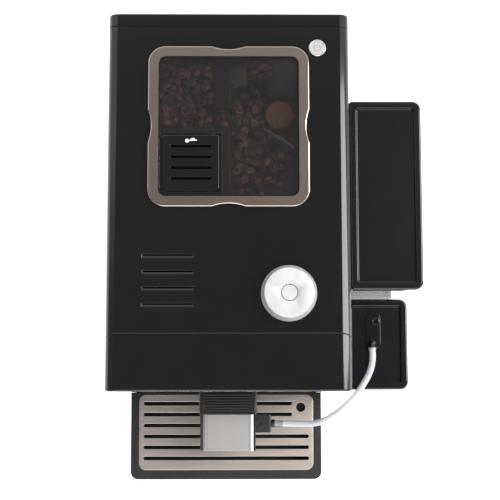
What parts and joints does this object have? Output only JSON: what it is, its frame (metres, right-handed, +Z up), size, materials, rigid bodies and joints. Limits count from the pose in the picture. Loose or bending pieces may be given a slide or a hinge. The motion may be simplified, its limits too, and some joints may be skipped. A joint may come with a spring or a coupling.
{
  "type": "bean to cup coffee machine",
  "caption": "Bean to cup coffee machine with a height-adjustable spout, side water tank, bean hopper under a lift-off lid, pull-out drip tray and a milk container tied on by its hose.",
  "frame": {"origin": "on the worktop under the middle of the machine's outline, tank and drip tray included", "axes": "+Z up, -Y towards the user, where the drip tray is, +X towards the water tank and the milk container"},
  "size_m": [0.3522, 0.533, 0.3643],
  "materials": {
    "gloss_black": "polished black plastic",
    "matt_black": "moulded matt black plastic",
    "lid_black": "satin black plastic",
    "display_black": "dark display pane",
    "board_green": "circuit board",
    "frame_grey": "grey moulded plastic",
    "shelf_grey": "coated sheet",
    "rubber_black": "soft black rubber",
    "grid_steel": "brushed stainless steel",
    "spout_steel": "satin stainless steel",
    "bronze_metal": "champagne bronze anodised, satin",
    "smoked_pane": "smoked clear plastic",
    "clear_plastic": "clear plastic",
    "hopper_black": "dark moulded plastic",
    "guard_brown": "brown moulded plastic",
    "satin_aluminium": "turned and brushed aluminium",
    "button_silver": "silver-white satin",
    "clear_silicone": "clear silicone",
    "burr_steel": "ground steel",
    "motor_grey": "coated steel",
    "brew_white": "food grade white plastic",
    "boiler_aluminium": "cast aluminium"
  },
  "bodies": {
    "chassis": {"base_pan": "matt_black", "rubber_feet": "rubber_black", "left_panel": "gloss_black", "right_panel": "gloss_black", "rear_panel": "matt_black", "rear_strip": "gloss_black", "top_cover": "gloss_black", "front_hood": "gloss_black", "display_window": "display_black", "control_board": "board_green", "front_panel": "gloss_black", "spout_guide": "frame_grey", "inner_shelf": "shelf_grey", "mains_inlet": "matt_black", "bean_hopper": "hopper_black", "grinder_guard": "guard_brown", "powder_chute": "matt_black", "knob_tube": "matt_black", "control_switches": "matt_black", "power_bezel": "satin_aluminium", "tank_dock": "matt_black", "milk_jug": "clear_plastic", "milk_lid": "lid_black", "milk_elbow": "lid_black", "milk_hose": "clear_silicone", "grinder_housing": "frame_grey", "upper_burr": "burr_steel", "grinder_motor": "motor_grey", "brew_frame": "frame_grey", "brew_cylinder": "brew_white", "piston_drive": "matt_black", "brew_funnel": "frame_grey", "flow_meter": "brew_white", "pump_mounts": "rubber_black", "water_pump": "motor_grey", "boiler": "boiler_aluminium", "water_pipes": "brew_white", "power_board": "board_green", "base_screws": "grid_steel"},
    "bean_lid": {"lid_frame": "bronze_metal", "lid_base": "matt_black", "lid_window": "smoked_pane", "lid_seal": "rubber_black"},
    "flap": {"powder_flap": "gloss_black"},
    "knob": {"knob_ring": "satin_aluminium"},
    "knob_press": {"knob_cap": "satin_aluminium"},
    "power_key": {"power_button": "button_silver"},
    "tank": {"water_tank": "clear_plastic", "tank_valve": "matt_black"},
    "tank_cover": {"tank_lid": "lid_black"},
    "tray": {"drip_tray": "matt_black"},
    "grid": {"drip_grid": "grid_steel"},
    "float": {"drip_float": "matt_black"},
    "bin": {"grounds_bin": "matt_black"},
    "spout": {"spout_carriage": "matt_black", "spout_cover": "spout_steel", "outlet_block": "matt_black", "milk_connector": "matt_black"},
    "burr": {"lower_burr": "burr_steel"},
    "piston": {"brew_piston": "brew_white"}
  },
  "joints": [
    {"name": "bean_lid_lift", "type": "slide", "parent": "chassis", "child": "bean_lid", "axis": [0, 0, 1], "range_m": [0, 0.03]},
    {"name": "flap_hinge", "type": "hinge", "parent": "bean_lid", "child": "flap", "pos_m": [-0.08325, 0.1263, 0.3521], "axis": [-1, 0, 0], "range_deg": [0, 95]},
    {"name": "knob_spin", "type": "hinge", "parent": "chassis", "child": "knob", "pos_m": [0.0239, -0.0477, 0.357], "axis": [0, 0, 1], "continuous": true},
    {"name": "knob_push", "type": "slide", "parent": "chassis", "child": "knob_press", "axis": [0, 0, -1], "range_m": [0, 0.001], "stiffness_N_per_m": 600, "springref_m": -0.001},
    {"name": "power_push", "type": "slide", "parent": "chassis", "child": "power_key", "axis": [0, 0, -1], "range_m": [0, 0.0012], "stiffness_N_per_m": 600, "springref_m": -0.001},
    {"name": "tank_lift", "type": "slide", "parent": "chassis", "child": "tank", "axis": [0, 0, 1], "range_m": [0, 0.04]},
    {"name": "tank_lid_lift", "type": "slide", "parent": "tank", "child": "tank_cover", "axis": [0, 0, 1], "range_m": [0, 0.02]},
    {"name": "tray_slide", "type": "slide", "parent": "chassis", "child": "tray", "axis": [0, -1, 0], "range_m": [0, 0.18]},
    {"name": "grid_lift", "type": "slide", "parent": "tray", "child": "grid", "axis": [0, 0, 1], "range_m": [0, 0.015]},
    {"name": "float_rise", "type": "slide", "parent": "tray", "child": "float", "axis": [0, 0, 1], "range_m": [0, 0.008]},
    {"name": "bin_lift", "type": "slide", "parent": "tray", "child": "bin", "axis": [0, 0, 1], "range_m": [0, 0.015]},
    {"name": "spout_height", "type": "slide", "parent": "chassis", "child": "spout", "axis": [0, 0, 1], "range_m": [-0.022, 0.028], "deforming": ["milk_hose"]},
    {"name": "burr_spin", "type": "hinge", "parent": "chassis", "child": "burr", "pos_m": [0.01545, 0.1588, 0.26], "axis": [0, 0, 1], "continuous": true},
    {"name": "piston_rise", "type": "slide", "parent": "chassis", "child": "piston", "axis": [0, 0, 1], "range_m": [0, 0.03]}
  ]
}
